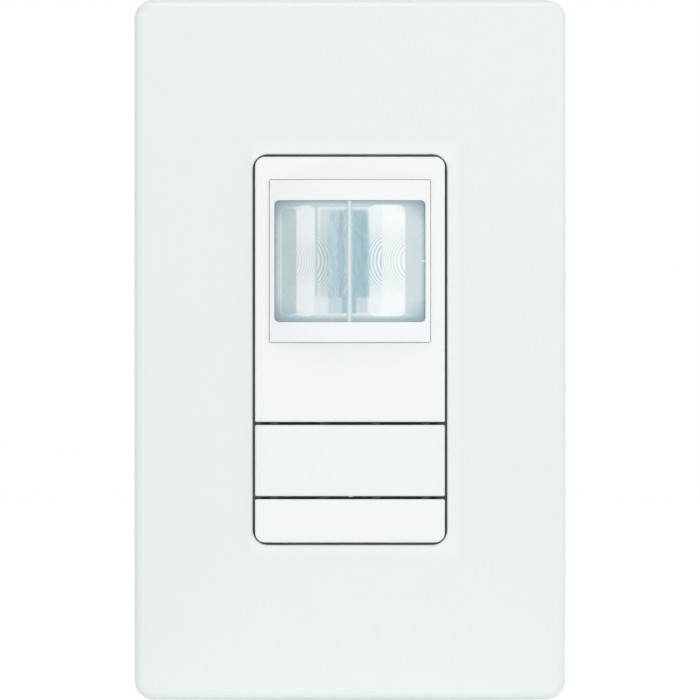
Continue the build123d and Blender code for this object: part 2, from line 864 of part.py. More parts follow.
def hook(z_edge, away):
    """A tab whose lip holds the free edge under the cross bar; away is its side of the bar."""
    near = z_edge + away * seat_air
    far = near + away * hook_t
    root = face_back + button_hollow
    lip_front = strap_front - hook_air
    x_low, x_high = hook_x - hook_w / 2, hook_x + hook_w / 2
    tab = bar(x_low, x_high, min(near, far), max(near, far), lip_front - hook_lip_h, root)
    lip_end = z_edge - away * (hook_lip - seat_air)
    lip_low, lip_high = min(lip_end, near), max(lip_end, near)
    return tab + bar(x_low, x_high, lip_low, lip_high, lip_front - hook_lip_h, lip_front)


def make_button(z_low, z_high, hinge_z, post_z, bar_edge, away):
    outline = face_outline(z_low, z_high)
    button = slab(outline, face_back, face_front)
    button = fillet(front_edges(button), face_edge_r)
    button -= slab(offset(outline, amount=-button_rim), face_back, face_back + button_hollow)
    button += both_sides(hinge_lug(hinge_z) + hook(bar_edge, away))
    button += push_post(post_z)
    rib_l = 2 * (hook_x - hook_w)
    root = face_back + button_hollow
    button += block(0, hinge_z, rib_l, button_rib_t, face_back - button_rib_h, root)
    return button


# Tact switches and their plungers
def make_switch_base(z):
    half = switch_w / 2
    front = board_front + switch_base_h
    base = bar(-half, half, z - half, z + half, board_front, front)
    base -= disc(0, z, switch_well_r, front - plunger_travel - plunger_flange_h - fit, front + overrun)
    for side_x in (-1, 1):
        for side_z in (-1, 1):
            x = side_x * (half + switch_leg_w / 2)
            leg_z = z + side_z * half / 2
            leg = bar(x - switch_leg_w / 2 - tiny, x + switch_leg_w / 2, leg_z - switch_leg_w / 2,
                      leg_z + switch_leg_w / 2, board_front, board_front + switch_shell_t)
            base += leg
    return base


def make_switch_shell(z):
    half = switch_w / 2
    low = board_front + switch_base_h
    shell = bar(-half, half, z - half, z + half, low, low + switch_shell_t)
    return shell - disc(0, z, plunger_r + fit, 0, low - overrun)


def make_plunger(z):
    low = board_front + switch_base_h - plunger_flange_h - fit / 2
    profile = (
        (0, low),
        (plunger_flange_r, low),
        (plunger_flange_r, low + plunger_flange_h),
        (plunger_r, low + plunger_flange_h),
        (plunger_r, plunger_out),
        (0, plunger_out),
    )
    return Pos(0, 0, z) * turned(profile)


# Boards and what stands on the control board
def board_outline():
    outline = Rectangle(board_w, board_h)
    for side_x in (-1, 1):
        for side_z in (-1, 1):
            outline -= Pos(side_x * boss_x, side_z * boss_z) * Circle(tower_r + tower_air)
            outline -= Pos(side_x * board_w / 2, side_z * board_h / 2) * Circle(rear_corner_r)
            edge = Pos(side_x * boss_x, side_z * board_h / 2)
            outline -= edge * Rectangle(2 * (tower_r + tower_air), board_h - 2 * boss_z)
    return outline


def make_control_board():
    board = slab(board_outline(), board_back, board_front)
    for side in (-1, 1):
        for z in (upper_leg_z, lower_leg_z):
            board -= disc(side * leg_x, z, stake_r + fit / 2, board_back - overrun, board_front + overrun)
    for x, z in header_pin_spots():
        board -= disc(x, z, header_pin_w, board_back - overrun, board_front + overrun)
    for x, z in can_pin_spots():
        board -= disc(x, z, can_pin_r + fit / 2, board_back - overrun, board_front + overrun)
    return board


def make_pyro_can():
    outer = turned((
        (0, board_front),
        (can_flange_r, board_front),
        (can_flange_r, board_front + can_flange_h),
        (can_r, board_front + can_flange_h),
        (can_r, can_front),
        (0, can_front),
    ))
    outer = fillet(outer.faces().sort_by(Axis.Y)[0].edges(), can_edge_r)
    hollow = turned((
        (0, board_front + can_flange_h),
        (can_r - can_t, board_front + can_flange_h),
        (can_r - can_t, can_front - can_t),
        (0, can_front - can_t),
    ))
    eye = slab(Rectangle(filter_w, filter_h), can_front - 2 * can_t, can_front + overrun)
    return Pos(0, 0, lens_z) * (outer - hollow - eye)


def make_pyro_filter():
    """The window glued behind the can's square hole, with a step that fills the hole."""
    behind = can_front - can_t
    plate = slab(Rectangle(filter_w + filter_t, filter_h + filter_t), behind - filter_t, behind)
    step = slab(Rectangle(filter_w - fit, filter_h - fit), behind - tiny, can_front - can_t / 2)
    return Pos(0, 0, lens_z) * (plate + step)


def can_pin_spots():
    spots = []
    for angle in (45, 135, 270):
        x = can_pin_circle_r * math.cos(math.radians(angle))
        z = lens_z + can_pin_circle_r * math.sin(math.radians(angle))
        spots.append((x, z))
    return spots


def make_pyro_pins():
    pins = [disc(x, z, can_pin_r, board_front - can_pin_l, board_front) for x, z in can_pin_spots()]
    return Compound(children=pins)


def make_lamp(x):
    """A small round part with a domed front and a rim at the board."""
    dome_start = board_front + lamp_h - lamp_r
    body = turned((
        (0, board_front),
        (lamp_rim_r, board_front),
        (lamp_rim_r, board_front + lamp_rim_h),
        (lamp_r, board_front + lamp_rim_h),
        (lamp_r, dome_start),
        (0, dome_start),
    ))
    dome = Pos(0, -dome_start, 0) * Sphere(lamp_r)
    keep = bar(-lamp_r, lamp_r, -lamp_r, lamp_r, dome_start, dome_start + lamp_r)
    return Pos(x, 0, peephole_z) * (body + (dome & keep))


def make_control_chip():
    x = board_w * chip_share
    z = -chip_drop
    half = chip_w / 2
    chip = bar(x - half, x + half, z - half, z + half, board_front + fit, board_front + chip_t)
    pitch = chip_w / (chip_lead_count + 1)
    reach = half + chip_lead_w
    for index in range(1, chip_lead_count + 1):
        step = index * pitch - half
        low, high = step - chip_lead_w / 2, step + chip_lead_w / 2
        chip += bar(x - reach, x + reach, z + low, z + high, board_front, board_front + 2 * fit)
        chip += bar(x + low, x + high, z - reach, z + reach, board_front, board_front + 2 * fit)
    return chip


def make_insulator_sheet():
    outline = RectangleRounded(cavity_w - 2 * fit, cavity_h - 2 * fit, rear_corner_r / 2) - strap_window()
    for side_x in (-1, 1):
        for side_z in (-1, 1):
            outline -= Pos(side_x * boss_x, side_z * boss_z) * Circle(housing_screw_r + fit)
    return slab(outline, -sheet_t, 0)


# Rear housing and its screws
def terminal_places():
    return [(side, cavity_h / 2 * share) for side, share in terminal_shares]


def beside(side, shape):
    """A shape made on the right-hand side, or its mirror image on the left."""
    return shape if side > 0 else mirror(shape, about=Plane.YZ)


def pocket_block(z, grow, x_out):
    """The recess for one terminal, grown by a wall, from its floor out to x_out."""
    half = pocket_half + grow
    top, low = -pocket_drop + grow, -(pocket_drop + pocket_run) - grow
    return bar(pocket_floor_x - grow, x_out, z - half, z + half, low, top)


def make_rear_housing():
    outline = RectangleRounded(rear_w, rear_h, rear_corner_r)
    body = slab(outline, -rear_depth, 0)
    body = fillet(body.faces().sort_by(Axis.Y)[-1].edges(), rear_edge_r)
    cavity = RectangleRounded(cavity_w, cavity_h, rear_corner_r / 2)
    body -= slab(cavity, rear_floor, overrun)
    inside = slab(cavity, rear_floor - tiny, 0)
    for side, z in terminal_places():
        body += beside(side, pocket_block(z, pocket_wall, rear_w / 2 - rear_wall / 2))
    for side_x in (-1, 1):
        for side_z in (-1, 1):
            tower_z = side_z * boss_z
            tower = disc(side_x * boss_x, tower_z, tower_r, rear_floor - tiny, -sheet_t)
            body += tower & inside
            stand_x, stand_z = side_x * standoff_x, side_z * standoff_z
            body += disc(stand_x, stand_z, standoff_r, rear_floor - tiny, power_back)
            body += disc(stand_x, stand_z, stake_r, power_back - tiny, power_front)
            body += disc(stand_x, stand_z, stake_head_r, power_front, power_front + stake_head_h)
            wall_x = cavity_w / 2
            ledge = bar(wall_x - ledge_w, wall_x + tiny, side_z * ledge_z - ledge_t / 2,
                        side_z * ledge_z + ledge_t / 2, board_back - ledge_h, board_back)
            body += beside(side_x, ledge)
    for side, z in terminal_places():
        body -= beside(side, pocket_block(z, 0, rear_w / 2 + overrun))
        body -= beside(side, terminal_slots(z))
    gauge = Pos(rear_w * gauge_share, 0) * RectangleRounded(gauge_w, gauge_l, gauge_w / 2 - tiny)
    body -= slab(gauge, -rear_depth - overrun, -rear_depth + gauge_depth)
    seat = -housing_screw_seat
    for side_x in (-1, 1):
        for side_z in (-1, 1):
            mark_x, mark_z = side_x * rear_w * eject_mark_shares[0], side_z * rear_h * eject_mark_shares[1]
            body -= disc(mark_x, mark_z, eject_mark_r, -rear_depth - overrun, -rear_depth + eject_mark_depth)
            x, z = side_x * boss_x, side_z * boss_z
            body -= disc(x, z, housing_screw_r + fit, -rear_depth, overrun)
            body -= disc(x, z, housing_screw_head_r + counterbore_air, -rear_depth - overrun, seat)
    return body


def terminal_slots(z):
    """The screw's hole in a pocket's floor and the slit that its brass tail leaves by."""
    inner_end = pocket_floor_x - 2 * pocket_wall
    hole = rod(inner_end, pocket_floor_x + overrun, z, brass_mid_out, terminal_screw_r + fit)
    pocket_low = -(pocket_drop + pocket_run)
    slit_w = brass_t + fit
    slit_h = 2 * (tail_half + fit)
    slit_x = pocket_floor_x + slit_w / 2
    return hole + block(slit_x, z, slit_w, slit_h, pocket_low - 2 * pocket_wall, pocket_low + tiny)


def make_housing_screws():
    seat = -housing_screw_seat
    profile = (
        (0, seat - housing_screw_head_h),
        (housing_screw_head_r, seat - housing_screw_head_h),
        (housing_screw_head_r, seat),
        (housing_screw_r, seat),
        (housing_screw_r, seat + housing_screw_l - housing_screw_r),
        (0, seat + housing_screw_l),
    )
    screw = turned(profile)
    head_face = seat - housing_screw_head_h
    for turn in (0, 90):
        slot = bar(-housing_screw_head_r, housing_screw_head_r, -slot_w / 2, slot_w / 2,
                   head_face - overrun, head_face + slot_depth)
        slot_keep = disc(0, 0, housing_screw_r, head_face - overrun, head_face + slot_depth)
        screw -= Rot(0, turn, 0) * (slot & slot_keep)
    spots = []
    for side_x in (-1, 1):
        for side_z in (-1, 1):
            spots.append(Pos(side_x * boss_x, 0, side_z * boss_z) * screw)
    return Compound(children=spots)


def make_terminal_plates():
    """Brass plates on the pocket floors, each with a tail to the power board."""
    plates = []
    for side, z in terminal_places():
        low, high = -(pocket_drop + pocket_run) + fit, -pocket_drop - fit
        x_low, x_high = pocket_floor_x, pocket_floor_x + brass_t
        plate = bar(x_low, x_high, z - brass_half, z + brass_half, low, high)
        plate += bar(x_low, x_high, z - tail_half, z + tail_half, power_back, low + tiny)
        plate -= rod(x_low - overrun, x_high + overrun, z, brass_mid_out, terminal_screw_r + fit / 2)
        plates.append(beside(side, plate))
    return Compound(children=plates)


def make_terminal_screws():
    """Slotted screws with a round head, clear of the plate by a wire's grip."""
    screws = []
    head_low = pocket_floor_x + brass_t + terminal_grip_air
    for side, z in terminal_places():
        shank = rod(head_low - terminal_screw_l, head_low + tiny, z, brass_mid_out, terminal_screw_r)
        head = rod(head_low, head_low + terminal_head_h, z, brass_mid_out, terminal_head_r)
        head = fillet(head.faces().sort_by(Axis.X)[-1].edges(), terminal_head_h * head_round_share)
        screw = shank + head
        slot_floor = head_low + terminal_head_h - slot_depth
        screw -= bar(slot_floor, head_low + terminal_head_h + overrun, z - terminal_head_r - overrun,
                     z + terminal_head_r + overrun, brass_mid_out - slot_w / 2, brass_mid_out + slot_w / 2)
        screws.append(beside(side, screw))
    return Compound(children=screws)


# Power board and what stands on it
def spot(place_share):
    return board_w / 2 * place_share[0], board_h / 2 * place_share[1]


def header_pin_spots():
    x, z = spot(header_place_share)
    first = -(header_count - 1) / 2
    return [(x, z + (first + index) * header_pitch) for index in range(header_count)]


def make_power_board():
    board = slab(board_outline(), power_back, power_front)
    for side_x in (-1, 1):
        for side_z in (-1, 1):
            x, z = side_x * standoff_x, side_z * standoff_z
            board -= disc(x, z, stake_r + fit / 2, power_back - overrun, power_front + overrun)
    for side, z in terminal_places():
        half = tail_half + fit
        slit = bar(pocket_floor_x - fit, pocket_floor_x + brass_t + fit, z - half, z + half,
                   power_back - overrun, power_front + overrun)
        board -= beside(side, slit)
    for x, z in header_pin_spots():
        board -= disc(x, z, header_pin_w, power_back - overrun, power_front + overrun)
    return board


def boxed_part(size, x, z, corner_r):
    """A moulded case standing on the power board."""
    width, height, depth = size
    outline = Pos(x, z) * RectangleRounded(width, height, corner_r)
    case = slab(outline, power_front, power_front + depth)
    return fillet(front_edges(case), corner_r / 2)


def make_bulk_capacitor():
    x, z = bulk_x, board_h / 2 * bulk_z_share
    can = disc(x, z, bulk_r, power_front, power_front + bulk_h)
    can = fillet(can.faces().sort_by(Axis.Y)[0].edges(), can_edge_r)
    neck = power_front + bulk_h * bulk_neck_share
    groove = Torus(bulk_r, can_edge_r)
    return can - Pos(x, -neck, z) * Rot(90, 0, 0) * groove


def make_choke_coil():
    x, z = spot(choke_place_share)
    top = power_front + choke_h
    return Pos(x, 0, z) * turned((
        (0, power_front),
        (choke_r, power_front),
        (choke_r, power_front + choke_flange_h),
        (choke_core_r, power_front + choke_flange_h),
        (choke_core_r, top - choke_flange_h),
        (choke_r, top - choke_flange_h),
        (choke_r, top),
        (0, top),
    ))


def make_varistor():
    x, z = spot(varistor_place_share)
    out = power_front + varistor_r + lead_r
    body = rod(x - varistor_t / 2, x + varistor_t / 2, z, out, varistor_r)
    body = fillet(body.edges().filter_by(GeomType.CIRCLE), varistor_t * varistor_round_share)
    for side in (-1, 1):
        body += disc(x, z + side * varistor_r / 2, lead_r, power_front, out)
    return body


def make_fuse_resistor():
    x, z = spot(fuse_place_share)
    out = power_front + fuse_r
    body = rod(x - fuse_l / 2, x + fuse_l / 2, z, out, fuse_r * fuse_neck_share)
    for side in (-1, 1):
        end = x + side * (fuse_l / 2 - fuse_cap_l / 2)
        body += rod(end - fuse_cap_l / 2, end + fuse_cap_l / 2, z, out, fuse_r)
    return body


def make_board_header():
    spots = header_pin_spots()
    x = spots[0][0]
    middle_z = (spots[0][1] + spots[-1][1]) / 2
    body_l = header_count * header_pitch
    body = block(x, middle_z, header_pitch, body_l, power_front, power_front + header_body_h)
    for pin_x, pin_z in spots:
        body += block(pin_x, pin_z, header_pin_w, header_pin_w, power_back - board_t, board_front)
    return body


def gate_nub():
    """The little rounded mould mark on the tall button's lower edge."""
    return disc(nub_x, upper_bottom + nub_r - nub_proud, nub_r, face_back, face_front - face_edge_r)


upper_button = make_button(upper_bottom, upper_top, upper_hinge_z, upper_post_z, crossbar_top, 1) + gate_nub()
lower_button = make_button(lower_bottom, lower_top, lower_hinge_z, lower_post_z, crossbar_bottom, -1)
pieces = {
    "wall_plate_cover": make_wall_plate_cover(),
    "plate_adapter": make_plate_adapter(),
    "adapter_screws": make_adapter_screws(),
    "mounting_strap": make_mounting_strap(),
    "ground_screw": make_ground_screw(),
    "front_cover": make_front_cover(),
    "window_frame": make_window_frame(),
    "fresnel_lens": make_fresnel_lens(),
    "sensor_baffle": make_sensor_baffle(),
    "upper_button": upper_button,
    "lower_button": lower_button,
    "front_housing": make_front_housing(),
    "control_board": make_control_board(),
    "control_chip": make_control_chip(),
    "pyro_can": make_pyro_can(),
    "pyro_filter": make_pyro_filter(),
    "pyro_pins": make_pyro_pins(),
    "status_led": make_lamp(-peephole_x),
    "photocell": make_lamp(peephole_x),
    "upper_switch_base": make_switch_base(upper_post_z),
    "upper_switch_shell": make_switch_shell(upper_post_z),
    "upper_switch_plunger": make_plunger(upper_post_z),
    "lower_switch_base": make_switch_base(lower_post_z),
    "lower_switch_shell": make_switch_shell(lower_post_z),
    "lower_switch_plunger": make_plunger(lower_post_z),
    "insulator_sheet": make_insulator_sheet(),
    "board_header": make_board_header(),
    "power_board": make_power_board(),
    "relay": boxed_part(relay_size, relay_x, board_h / 2 * relay_z_share, case_r),
    "bulk_capacitor": make_bulk_capacitor(),
    "film_capacitor": boxed_part(film_size, *spot(film_place_share), case_r),
    "choke_coil": make_choke_coil(),
    "varistor": make_varistor(),
    "fuse_resistor": make_fuse_resistor(),
    "rear_housing": make_rear_housing(),
    "housing_screws": make_housing_screws(),
    "terminal_plates": make_terminal_plates(),
    "terminal_screws": make_terminal_screws(),
}

os.makedirs("parts", exist_ok=True)
for name, shape in pieces.items():
    export_step(shape, f"parts/{name}.step")
upper_arm = upper_hinge_z - upper_post_z
lower_arm = lower_post_z - lower_hinge_z
print("plate", round(plate_w, 2), round(plate_h, 2), "face", round(face_w, 2), round(face_h, 2))
print("hinges out", round(hinge_out, 3), "z", round(upper_hinge_z, 3), round(lower_hinge_z, 3))
print("button swings in degrees", round(math.degrees(plunger_travel / upper_arm), 3),
      round(math.degrees(plunger_travel / lower_arm), 3), "arms", round(upper_arm, 3), round(lower_arm, 3))
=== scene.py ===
# %% [markdown]
# # A motion sensor switch in white plastic
# This lesson dresses a wall switch that was first built as real, working parts. The parts
# arrive as a fixed frame: every node already sits where it belongs, in metres, with X to
# the right, Z up and Y going into the wall. Here we add a camera, soft light and a finish
# for every part, and wind a real thread on the two screws that hold the wall plate.

import json
import math

import bmesh
import bpy
from mathutils import Matrix, Vector


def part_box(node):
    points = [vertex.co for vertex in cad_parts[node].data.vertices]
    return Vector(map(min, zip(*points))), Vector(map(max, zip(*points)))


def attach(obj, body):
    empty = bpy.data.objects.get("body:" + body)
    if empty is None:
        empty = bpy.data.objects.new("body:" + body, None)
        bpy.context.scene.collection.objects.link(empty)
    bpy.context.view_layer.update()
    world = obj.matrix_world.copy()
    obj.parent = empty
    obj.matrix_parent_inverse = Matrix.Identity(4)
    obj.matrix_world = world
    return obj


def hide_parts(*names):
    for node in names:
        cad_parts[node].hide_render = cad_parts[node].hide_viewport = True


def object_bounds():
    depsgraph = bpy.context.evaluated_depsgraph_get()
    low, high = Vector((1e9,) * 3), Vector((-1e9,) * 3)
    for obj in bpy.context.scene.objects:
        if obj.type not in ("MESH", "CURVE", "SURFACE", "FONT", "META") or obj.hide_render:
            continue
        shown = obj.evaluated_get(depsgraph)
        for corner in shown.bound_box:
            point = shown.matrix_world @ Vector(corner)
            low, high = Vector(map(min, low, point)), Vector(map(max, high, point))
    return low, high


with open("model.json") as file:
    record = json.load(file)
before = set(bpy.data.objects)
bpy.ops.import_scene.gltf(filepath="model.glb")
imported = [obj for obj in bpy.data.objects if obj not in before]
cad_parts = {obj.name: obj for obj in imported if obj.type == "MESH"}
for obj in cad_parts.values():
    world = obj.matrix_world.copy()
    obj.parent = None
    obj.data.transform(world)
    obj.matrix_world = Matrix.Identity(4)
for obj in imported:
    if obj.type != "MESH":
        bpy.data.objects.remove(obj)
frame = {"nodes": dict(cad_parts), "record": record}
cad_low, cad_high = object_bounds()
nodes = frame["nodes"]
mm = 0.001
print("nodes", len(nodes), "box in mm", [round(size / mm, 1) for size in cad_high - cad_low])

# %% [markdown]
# ## The camera
# The switch is seen straight from the front with a long lens, so its sides hardly show.
# A perspective camera far away gives that flat look and still turns well to other views.
# We place it by two facts: how many picture dots make one millimetre on the plate's
# front, and which point of the plate is in the middle of the picture.

# %% Camera
picture_dots = 700
dots_per_mm = 5.846
middle_x, middle_z = 0.01 * mm, -0.06 * mm
camera_distance = 1.8
view_width = picture_dots / dots_per_mm * mm

plate_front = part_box("wall_plate_cover")[0].y
camera_data = bpy.data.cameras.new("studio_camera")
camera_data.sensor_width = 36.0
camera_data.lens = camera_data.sensor_width * camera_distance / view_width
camera_data.clip_start = 0.1
camera_data.clip_end = 20.0
camera = bpy.data.objects.new("studio_camera", camera_data)
bpy.context.scene.collection.objects.link(camera)
camera.location = (middle_x, plate_front - camera_distance, middle_z)
camera.rotation_euler = (math.radians(90), 0, 0)
bpy.context.scene.camera = camera
print("lens", round(camera_data.lens), "mm at", camera_distance, "m")

# %% [markdown]
# ## Light
# A white part on a white ground is drawn by its edges alone. Its rounded edges glow at the
# top, at the right and at the bottom, and hardly at all at the left. So soft panels stand on
# all four sides, the right one a little stronger than the left one, and a broad panel in
# front, at the switch's own height, lights the flat faces.

# %% Lamps and world
bpy.context.scene.view_settings.view_transform = "Standard"
# name: (place, width and height, watts)
lamp_shapes = {
    "front_panel": ((0.2, -1.5, 0.0), (1.3, 0.8), 4.5),
    "left_panel": ((-1.0, -0.5, 0.1), (0.7, 1.0), 3.5),
    "right_panel": ((0.95, -0.45, 0.1), (0.7, 1.0), 4.2),
    "top_panel": ((0.05, -0.45, 1.0), (1.0, 0.6), 2.8),
    "low_panel": ((0.1, -0.7, -1.1), (1.0, 0.5), 1.9),
}


def soft_panel(name, place, size, power):
    """A rectangular lamp that looks at the switch."""
    data = bpy.data.lights.new(name, "AREA")
    data.shape = "RECTANGLE"
    data.size, data.size_y = size
    data.energy = power
    lamp = bpy.data.objects.new(name, data)
    bpy.context.scene.collection.objects.link(lamp)
    lamp.location = place
    lamp.rotation_euler = (-Vector(place)).to_track_quat("-Z", "Y").to_euler()
    return lamp


for name, (place, size, power) in lamp_shapes.items():
    soft_panel(name, place, size, power)
print("lamps", len(lamp_shapes))

# %% [markdown]
# ## A short way to write shader maths
# Materials are graphs, and graphs are hard to read as code. Two small classes help. A
# Wire stands for one output of a node, and writing `a * b + 1` with wires adds the Math
# nodes for it. A Finish is a material in the making, and its `add` method makes any
# other node: settings first, then values or wires for its sockets.

# %% Wires and finishes
class Wire:
    """One output socket, with arithmetic."""

    def __init__(self, finish, socket):
        self.finish = finish
        self.socket = socket

    def maths(self, operation, *others):
        values = dict(enumerate((self, *others)))
        return self.finish.add("ShaderNodeMath", {"operation": operation}, values)

    def __add__(self, other):
        return self.maths("ADD", other)

    def __sub__(self, other):
        return self.maths("SUBTRACT", other)

    def __mul__(self, other):
        return self.maths("MULTIPLY", other)

    def __rsub__(self, other):
        return self * -1 + other

    def __abs__(self):
        return self.maths("ABSOLUTE")

    __radd__ = __add__
    __rmul__ = __mul__

    def between(self, low, high):
        """0 at low and 1 at high, with a soft ramp."""
        settings = {"interpolation_type": "SMOOTHSTEP"}
        sockets = {0: self, 1: low, 2: high, 3: 0.0, 4: 1.0}
        return self.finish.add("ShaderNodeMapRange", settings, sockets)


class Finish:
    """A material in the making."""

    def __init__(self, name, **constants):
        self.material = bpy.data.materials.new(name)
        self.material.use_nodes = True
        self.tree = self.material.node_tree
        self.shader = self.tree.nodes["Principled BSDF"]
        for socket, value in constants.items():
            self.shader.inputs[socket.replace("_", " ")].default_value = value

    def add(self, kind, settings, sockets, output=0):
        node = self.tree.nodes.new(kind)
        for key, value in settings.items():
            if key == "stops":
                ramp = node.color_ramp.elements
                while len(ramp) < len(value):
                    ramp.new(0.5)
                for stop, (position, colour) in zip(ramp, value):
                    stop.position = position
                    stop.color = (*colour, 1.0)
            else:
                setattr(node, key, value)
        for key, value in sockets.items():
            if isinstance(value, Wire):
                self.tree.links.new(value.socket, node.inputs[key])
            elif value is not None:
                node.inputs[key].default_value = value
        return Wire(self, node.outputs[output])

    def place(self):
        """The point on the part, in millimetres, as x, y and z wires."""
        point = self.add("ShaderNodeTexCoord", {}, {}, "Object")
        point = self.add("ShaderNodeVectorMath", {"operation": "SCALE"}, {0: point, "Scale": 1 / mm})
        return [self.add("ShaderNodeSeparateXYZ", {}, {0: point}, axis) for axis in "XYZ"]

    def noise(self, scale, detail=2.0, stretch=(1, 1, 1)):
        """Cloudy noise, with scale in cycles per millimetre."""
        point = self.add("ShaderNodeTexCoord", {}, {}, "Object")
        cycles = [scale * factor / mm for factor in stretch]
        point = self.add("ShaderNodeVectorMath", {"operation": "MULTIPLY"}, {0: point, 1: cycles})
        return self.add("ShaderNodeTexNoise", {}, {"Vector": point, "Scale": 1.0, "Detail": detail})

    def mix(self, factor, colour_a, colour_b):
        sockets = {0: factor, 6: as_colour(colour_a), 7: as_colour(colour_b)}
        return self.add("ShaderNodeMix", {"data_type": "RGBA"}, sockets, 2)

    def bump(self, height, strength, distance):
        sockets = {"Height": height, "Strength": strength, "Distance": distance}
        return self.add("ShaderNodeBump", {}, sockets)

    def feed(self, **links):
        for socket, wire in links.items():
            self.tree.links.new(wire.socket, self.shader.inputs[socket.replace("_", " ")])
        return self.material


def linear(red, green, blue):
    """A screen colour of 0 to 255 as the linear numbers that shaders use."""
    values = [part / 255 for part in (red, green, blue)]
    return tuple(v / 12.92 if v < 0.04045 else ((v + 0.055) / 1.055) ** 2.4 for v in values)


def as_colour(value):
    return value if isinstance(value, Wire) else (*value, 1.0)


# %% [markdown]
# ## Floor and room
# The floor and the room stay plain. The camera should see them white, but they must not
# throw extra light on the part. A Light Path node tells the shader when it is looked at
# by the camera, in a mirror or through glass, and only then the white is added. The floor
# catches the part's shadow but casts none, so that the low panel can shine up past it.

# %% Floor and world
room_light = 0.375
floor_gap = 0.4 * mm
floor_half = 2.5
floor_glow = 0.6
paper_scale = 0.02


def seen_directly(finish):
    """1 for camera, mirror and glass rays, 0 for light that spreads."""
    rays = [finish.add("ShaderNodeLightPath", {}, {}, kind)
            for kind in ("Is Camera Ray", "Is Glossy Ray", "Is Transmission Ray")]
    return (rays[0] + rays[1] + rays[2]).maths("MINIMUM", 1.0)


class Room(Finish):
    """The world's node tree, used like a finish."""

    def __init__(self, world):
        world.use_nodes = True
        self.material = world
        self.tree = world.node_tree
        self.shader = self.tree.nodes["Background"]


world = bpy.data.worlds.new("studio_room")
bpy.context.scene.world = world
room = Room(world)
room.shader.inputs["Color"].default_value = (1.0, 1.0, 1.0, 1.0)
room.feed(Strength=seen_directly(room) * (1 - room_light) + room_light)

floor_finish = Finish("floor_paper", Roughness=0.9)
paper = floor_finish.noise(paper_scale)
floor_colour = floor_finish.mix(paper, linear(236, 239, 239), linear(241, 243, 243))
floor_finish.shader.inputs["Emission Color"].default_value = (1, 1, 1, 1)
glow_strength = seen_directly(floor_finish) * floor_glow
floor_finish.feed(Base_Color=floor_colour, Emission_Strength=glow_strength)

shape = bmesh.new()
bmesh.ops.create_grid(shape, x_segments=1, y_segments=1, size=floor_half)
bmesh.ops.translate(shape, verts=shape.verts, vec=(0, 0, cad_low.z - floor_gap))
floor_mesh = bpy.data.meshes.new("floor")
shape.to_mesh(floor_mesh)
shape.free()
floor = bpy.data.objects.new("floor", floor_mesh)
bpy.context.scene.collection.objects.link(floor)
floor_mesh.materials.append(floor_finish.material)
floor.visible_shadow = False
print("floor at", round((cad_low.z - floor_gap) / mm, 2), "mm")

# %% [markdown]
# ## Moulded plastic
# All the white parts come out of polished steel moulds. Up close such a surface is not
# perfectly even: it swells a little, its gloss drifts, and a very fine grain breaks up
# reflections. Slow noise for colour and gloss and quick noise for the bump give just that.
# The front needs a little more, painted into the colour: the walls of the narrow gap round the
# device get a sea-green painted shade for the little light they throw at each other, the plate
# gets painted highlights near its opening and along its top edge, and painted shade on its outer rim.

# %% Places on the front
# All in millimetres from the middle of the part. Shares say how far a painted highlight or painted shade
# goes.
gap_half_w, gap_half_h = 17.0, 33.8
opening_half_w, opening_half_h = 16.6, 33.4
plate_half_w, plate_half_h = 36.2, 59.2
highlight_reach = 3.5
top_band = (58.4, 58.9)
mask_soft, wall_soft = 0.3, 0.4
left_fade = 8
opening_highlight_share, top_highlight_share, rim_shade_share = 0.5, 0.75, 0.25
# Painted shade for the gap walls: a darker sea-green where little light gets in.
gap_painted_shade = linear(150, 186, 187)
# Painted highlight on the plate near its opening and along its top edge.
painted_edge_highlight = linear(243, 248, 248)


def paint_gap_shade(finish, tint, wall_front):
    """Paint shade on the walls of the gap round the device: a sea-green darkening for the little light
    they trade among themselves.
    """
    x, y, z = finish.place()
    inside_x = 1 - abs(x).between(gap_half_w, gap_half_w + mask_soft)
    inside_z = 1 - abs(z).between(gap_half_h, gap_half_h + mask_soft)
    deep = y.between(-wall_front, wall_soft - wall_front)
    return finish.mix(inside_x * inside_z * deep, tint, gap_painted_shade)


def paint_plate_light(finish, tint, wall_front, rim):
    """Painted highlight at the opening and along the top edge, and painted shade on the outer rim.

    The painted highlight fades faster at the left of the opening, where the plate stays plain.
    """
    x, y, z = finish.place()
    leftwards = (x * -1 - opening_half_w) * left_fade
    away = (x - opening_half_w).maths("MAXIMUM", leftwards).maths("MAXIMUM", abs(z) - opening_half_h)
    highlight_mix = (1 - away.between(0.0, highlight_reach)) * opening_highlight_share
    highlight_mix = highlight_mix.maths("MAXIMUM", z.between(*top_band) * top_highlight_share)
    tint = paint_gap_shade(finish, finish.mix(highlight_mix, tint, painted_edge_highlight), wall_front)
    # Painted shade on the outer rim, mixed from the gap shade.
    beyond_x = abs(x).between(plate_half_w, plate_half_w + mask_soft)
    beyond_z = abs(z).between(plate_half_h, plate_half_h + mask_soft)
    outside = beyond_x.maths("MAXIMUM", beyond_z) * y.between(-rim, mask_soft - rim)
    return finish.mix(outside * rim_shade_share, tint, gap_painted_shade)


print("places on the front set")


# %% White and grey plastics
swell_scale, grain_scale = 0.045, 6.0
grain_height = 0.02 * mm
gloss_drift = 0.08


def moulded(name, colour, roughness, grain=0.06, drift=0.012, wall_front=None, rim=None):
    """Plastic out of a steel mould. wall_front and rim name the planes behind which walls get painted
    shade.
    """
    finish = Finish(name)
    slow = finish.noise(swell_scale)
    quick = finish.noise(grain_scale, 1.0)
    dim = tuple(part * (1 - drift) for part in colour)
    tint = finish.mix(slow, dim, colour)
    if rim:
        tint = paint_plate_light(finish, tint, wall_front, rim)
    elif wall_front:
        tint = paint_gap_shade(finish, tint, wall_front)
    gloss = slow * gloss_drift + (roughness - gloss_drift / 2)
    normal = finish.bump(quick, grain, grain_height)
    return finish.feed(Base_Color=tint, Roughness=gloss, Normal=normal)


